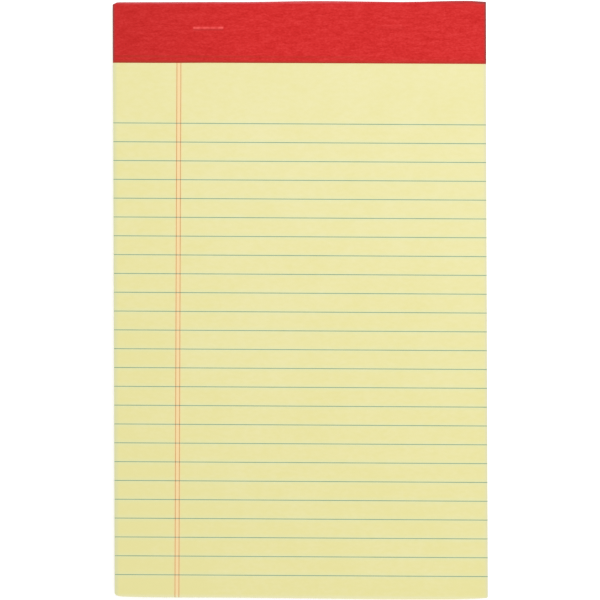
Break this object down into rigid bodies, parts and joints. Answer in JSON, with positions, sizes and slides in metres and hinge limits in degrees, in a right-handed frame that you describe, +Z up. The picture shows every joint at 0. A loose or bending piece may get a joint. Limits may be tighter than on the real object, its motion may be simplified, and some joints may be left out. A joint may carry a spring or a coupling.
{
  "type": "legal pad",
  "caption": "Junior legal pad: ruled yellow sheets on a chipboard back, stapled and bound at the head with a red wrap-around tape.",
  "frame": {"origin": "middle of the pad's outline, on the surface that the pad lies on", "axes": "+X across the page to the right, +Y along the page towards the bound head, +Z up out of the page"},
  "size_m": [0.127, 0.204, 0.0054],
  "materials": {
    "chipboard": "matte",
    "canary_paper": "matte",
    "leatherette_tape": "satin",
    "staple_wire": "satin",
    "blue_ink": "matte",
    "coral_ink": "matte"
  },
  "bodies": {
    "root": {"backing_board": "chipboard", "sheet_block": "canary_paper", "header_tape": "leatherette_tape", "staples": "staple_wire", "blue_rules": "blue_ink", "margin_rules": "coral_ink"}
  },
  "joints": []
}
